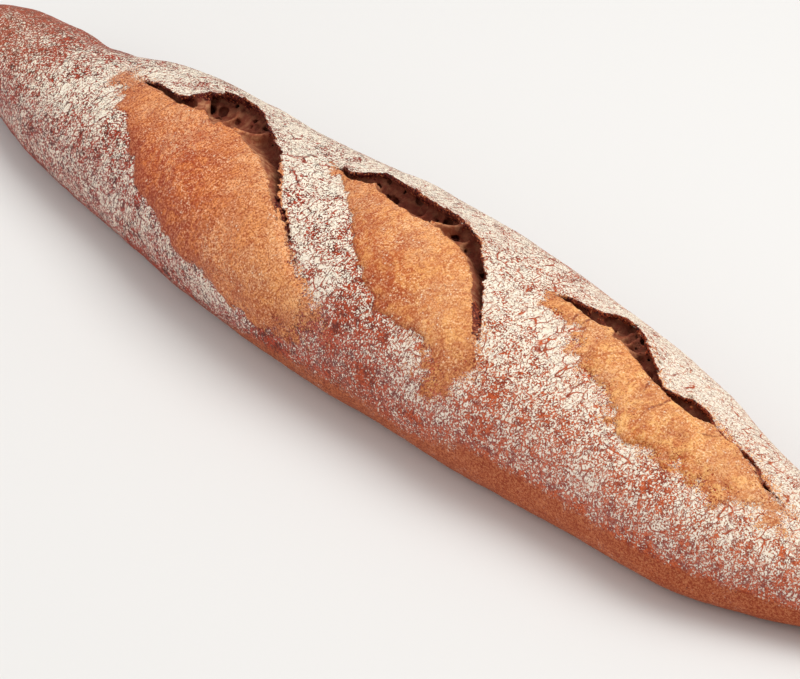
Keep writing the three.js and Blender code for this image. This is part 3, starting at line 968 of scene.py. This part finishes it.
def crust_material():
    n = Nodes("crust")
    stored = ("bare", "depth", "edge", "flour", "crease", "fray", "low", "along")
    at = SimpleNamespace(**{name: n.attribute(name) for name in stored})
    at.torn = n.attribute("torn", "Vector")
    _, at.behind, at.near = n.new("SeparateXYZ", {0: at.torn}).outputs
    at.rightward = n.step(0.4, 0.75, at.along)
    at.broad = n.noise(26, 2, 0.5)
    at.wander = n.noise(7, 2, 0.55)
    at.mottle = n.noise(3.4, 4, 0.68, twist=0.6)
    at.membrane = n.noise(2.2, 3, 0.55)
    at.grain = n.noise(0.62, 2, 0.6)
    at.curl = n.noise(0.66, 3, 0.7, twist=0.5)
    at.ridges = n.noise(0.9, 3, 0.6, n.scaled((0.95, 0.13, 0.05), at.torn))

    level = flour_level(n, at)
    cover = flour_cover(n, at, level)
    is_bare = bare_share(n, at)
    inside = n.step(0.5, 1.4, at.depth)
    burnt = n.scale_add(n.centred(n.noise(3, 3, 0.6)), 1.6, at.edge)
    burnt = n.math("ADD", burnt, n.centred(at.grain))
    surface = n.mix(is_bare, floured_skin(n, at, level, cover), bare_crust(n, at))
    surface = n.mix(inside, surface, torn_crumb(n, at))
    surface = n.mix(n.step(0.3, 0.6, burnt), surface, burnt_rim(n, at))

    # Relief too fine for the mesh.
    island = n.times(cover, n.minus(1.0, is_bare))
    normal = n.bump(n.scale_add(at.grain, 0.6, island), 0.13)
    normal = n.bump(n.times(n.scale_add(at.ridges, 0.6, at.curl), is_bare), 0.2, normal)
    normal = n.bump(n.times(at.membrane, inside), 0.5, normal)

    rough = n.blend(is_bare, n.blend(cover, 0.62, 0.92), n.blend(at.mottle, 0.45, 0.7))
    shader = n.new("BsdfPrincipled", {"Base Color": surface, "Specular IOR Level": 0.22,
                                      "Roughness": n.blend(inside, rough, 0.8), "Normal": normal})
    n.new("OutputMaterial", {"Surface": shader.outputs[0]})
    return n.material


# ------------ the loaf
def build_loaf():
    """Builds the loaf where the CAD one is, and returns how far its own middle is moved."""
    field, origin = fill_field()
    fuse_touching(field)
    vertices, quads = largest_piece(*draw_surface(field, origin, VOXEL))
    grid_mesh = bpy.data.meshes.new("loaf")
    grid_mesh.from_pydata(vertices.tolist(), [], quads.tolist())
    piece = add_object("loaf", grid_mesh)
    thin_out(piece, FACES)
    mesh = piece.data
    points = np.empty(3 * len(mesh.vertices), np.float32)
    mesh.vertices.foreach_get("co", points)
    points = points.reshape(-1, 3).astype(float)
    paint(piece, points)
    mesh.shade_smooth()
    mesh.materials.append(crust_material())
    # The loaf's own middle goes where the CAD loaf has it, with its bottom on the same level.
    low, high = (np.array(corner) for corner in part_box("baguette"))
    plain_y = SKIN[..., 1]
    shift = (low + high) / 2 - np.array([0, (plain_y.min() + plain_y.max()) / 2 * MM, 0])
    shift[2] = low[2]
    mesh.vertices.foreach_set("co", (points * MM + shift).astype(np.float32).ravel())
    mesh.update()
    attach(piece, "root")
    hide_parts("baguette")
    return shift


# ------------ stage, light and camera
AZIMUTH, ELEVATION = 47.5, 35.0
DISTANCE = 1.3             # from the camera to the loaf's middle, metres
FRAME_WIDTH = 0.25824      # what the picture spans at that distance, metres
SENSOR = 36                # millimetres
LOOK_AT = Vector((0, 0.0035, 0.022))
OFF_CENTRE = Vector((-0.00145, 0.0170))    # right and down from the picture's middle
FLOOR_REACH = 6.0
LAMPS = (("key", 0.9, 9.3, (0.2, 0.35, 1.12)), ("fill", 1.4, 5.5, (-0.5, -1.2, 0.9)))


def make_stage(shift):
    """The floor, the lights and the camera, which looks at the loaf moved by shift."""
    floor_mesh = bpy.data.meshes.new("floor")
    corners = [(x * FLOOR_REACH, y * FLOOR_REACH, 0) for x, y in ((-1, -1), (1, -1), (1, 1), (-1, 1))]
    floor_mesh.from_pydata(corners, [], [(0, 1, 2, 3)])
    material = bpy.data.materials.new("floor")
    material.use_nodes = True
    shader = material.node_tree.nodes["Principled BSDF"]
    shader.inputs["Base Color"].default_value = colour("#e6e4e1")
    shader.inputs["Roughness"].default_value = 0.9
    floor_mesh.materials.append(material)
    floor = add_object("floor", floor_mesh)

    scene = bpy.context.scene
    world = bpy.data.worlds.new("studio")
    scene.world = world
    world.use_nodes = True
    background = world.node_tree.nodes["Background"]
    background.inputs["Color"].default_value = colour("#ffffff")
    background.inputs["Strength"].default_value = 0.55

    for name, size, power, place in LAMPS:
        light = bpy.data.lights.new(name, "AREA")
        light.size = size
        light.energy = power
        lamp = add_object(name, light)
        lamp.location = place
        lamp.rotation_euler = (-Vector(place)).to_track_quat("-Z", "Y").to_euler()

    a, e = math.radians(AZIMUTH), math.radians(ELEVATION)
    back = Vector((math.sin(a) * math.cos(e), -math.cos(a) * math.cos(e), math.sin(e)))
    right = Vector((math.cos(a), math.sin(a), 0))
    up = back.cross(right)
    target = LOOK_AT + Vector(shift) - right * OFF_CENTRE.x - up * OFF_CENTRE.y
    camera = add_object("camera", bpy.data.cameras.new("camera"))
    camera.data.sensor_width = SENSOR
    camera.data.lens = SENSOR * DISTANCE / FRAME_WIDTH
    camera.data.clip_start = 0.05
    axes = Matrix((right, up, back)).transposed()
    camera.matrix_world = Matrix.Translation(target + back * DISTANCE) @ axes.to_4x4()
    scene.camera = camera
    scene.view_settings.view_transform = "Standard"


make_stage(build_loaf())
